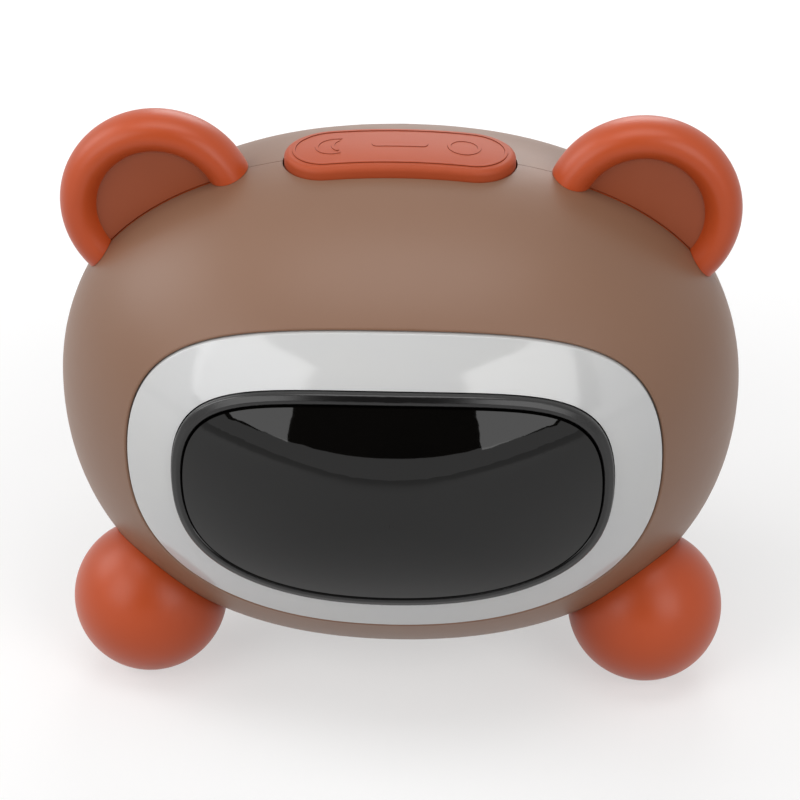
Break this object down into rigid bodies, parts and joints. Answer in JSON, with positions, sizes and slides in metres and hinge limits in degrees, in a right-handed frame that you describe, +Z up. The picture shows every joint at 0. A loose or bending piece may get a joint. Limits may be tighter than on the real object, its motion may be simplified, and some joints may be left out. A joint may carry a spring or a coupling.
{
  "type": "alarm clock with night light",
  "caption": "Bear-head alarm clock: two moulded shells, ball feet, ears, lit white ring round a dark display, top press bar and a soft rear key sheet.",
  "frame": {"origin": "on the floor under the centre of the outline seen from above", "axes": "+Z up, -Y out of the display, +X to the right of someone who faces the display"},
  "size_m": [0.15, 0.1206, 0.1275],
  "materials": {
    "brown_shell": "satin soft-touch moulded ABS",
    "orange_shell": "satin moulded ABS",
    "ear_lining": "satin moulded ABS plate",
    "orange_silicone": "matt moulded silicone",
    "opal_white": "glossy opal polycarbonate",
    "black_bezel": "satin black ABS",
    "smoked_window": "glossy smoked acrylic",
    "white_inner": "moulded ABS",
    "board_green": "solder-masked circuit board",
    "lamp_white": "surface-mounted lamp",
    "chip_black": "moulded epoxy",
    "screw_steel": "zinc-plated steel",
    "speaker_black": "pressed basket and paper cone",
    "foam": "closed-cell foam",
    "battery_blue": "shrink-wrapped cell",
    "pad_rubber": "moulded rubber"
  },
  "bodies": {
    "housing": {"battery_pack": "battery_blue", "battery_tray": "white_inner", "board_chips": "chip_black", "board_screws": "screw_steel", "bracket_screws": "screw_steel", "button_bracket": "white_inner", "charging_port": "screw_steel", "digit_display": "black_bezel", "display_bezel": "black_bezel", "display_lens": "smoked_window", "ear_left": "orange_shell", "ear_lining_left": "ear_lining", "ear_lining_right": "ear_lining", "ear_right": "orange_shell", "foot_left": "orange_shell", "foot_right": "orange_shell", "foot_screws": "screw_steel", "foot_washers": "screw_steel", "front_shell": "brown_shell", "key_sheet": "orange_silicone", "key_switches": "chip_black", "light_board": "board_green", "light_diffuser": "opal_white", "light_frame": "white_inner", "light_lamps": "lamp_white", "light_screws": "screw_steel", "main_board": "board_green", "port_board": "board_green", "rear_shell": "brown_shell", "rest_pad": "pad_rubber", "shell_screws": "screw_steel", "snooze_switch": "chip_black", "speaker": "speaker_black", "speaker_gasket": "foam"},
    "alarm_one_key_body": {"alarm_one_key": "orange_silicone"},
    "alarm_two_key_body": {"alarm_two_key": "orange_silicone"},
    "time_key_body": {"time_key": "orange_silicone"},
    "sun_moon_key_body": {"sun_moon_key": "orange_silicone"},
    "plus_key_body": {"plus_key": "orange_silicone"},
    "minus_key_body": {"minus_key": "orange_silicone"},
    "power_key_body": {"power_key": "orange_silicone"},
    "sound_key_body": {"sound_key": "orange_silicone"},
    "light_key_body": {"light_key": "orange_silicone"},
    "snooze_button_body": {"snooze_button": "orange_silicone"}
  },
  "joints": [
    {"name": "alarm_one_press", "type": "slide", "parent": "housing", "child": "alarm_one_key_body", "axis": [0, -1, 0], "range_m": [0, 0.0008], "stiffness_N_per_m": 500},
    {"name": "alarm_two_press", "type": "slide", "parent": "housing", "child": "alarm_two_key_body", "axis": [0, -1, 0], "range_m": [0, 0.0008], "stiffness_N_per_m": 500},
    {"name": "time_press", "type": "slide", "parent": "housing", "child": "time_key_body", "axis": [0, -1, 0], "range_m": [0, 0.0008], "stiffness_N_per_m": 500},
    {"name": "sun_moon_press", "type": "slide", "parent": "housing", "child": "sun_moon_key_body", "axis": [0, -1, 0], "range_m": [0, 0.0008], "stiffness_N_per_m": 500},
    {"name": "plus_press", "type": "slide", "parent": "housing", "child": "plus_key_body", "axis": [0, -1, 0], "range_m": [0, 0.0008], "stiffness_N_per_m": 500},
    {"name": "minus_press", "type": "slide", "parent": "housing", "child": "minus_key_body", "axis": [0, -1, 0], "range_m": [0, 0.0008], "stiffness_N_per_m": 500},
    {"name": "power_press", "type": "slide", "parent": "housing", "child": "power_key_body", "axis": [0, -1, 0], "range_m": [0, 0.0008], "stiffness_N_per_m": 500},
    {"name": "sound_press", "type": "slide", "parent": "housing", "child": "sound_key_body", "axis": [0, -1, 0], "range_m": [0, 0.0008], "stiffness_N_per_m": 500},
    {"name": "light_press", "type": "slide", "parent": "housing", "child": "light_key_body", "axis": [0, -1, 0], "range_m": [0, 0.0008], "stiffness_N_per_m": 500},
    {"name": "snooze_press", "type": "slide", "parent": "housing", "child": "snooze_button_body", "axis": [0, 0, -1], "range_m": [0, 0.0012], "stiffness_N_per_m": 800}
  ]
}
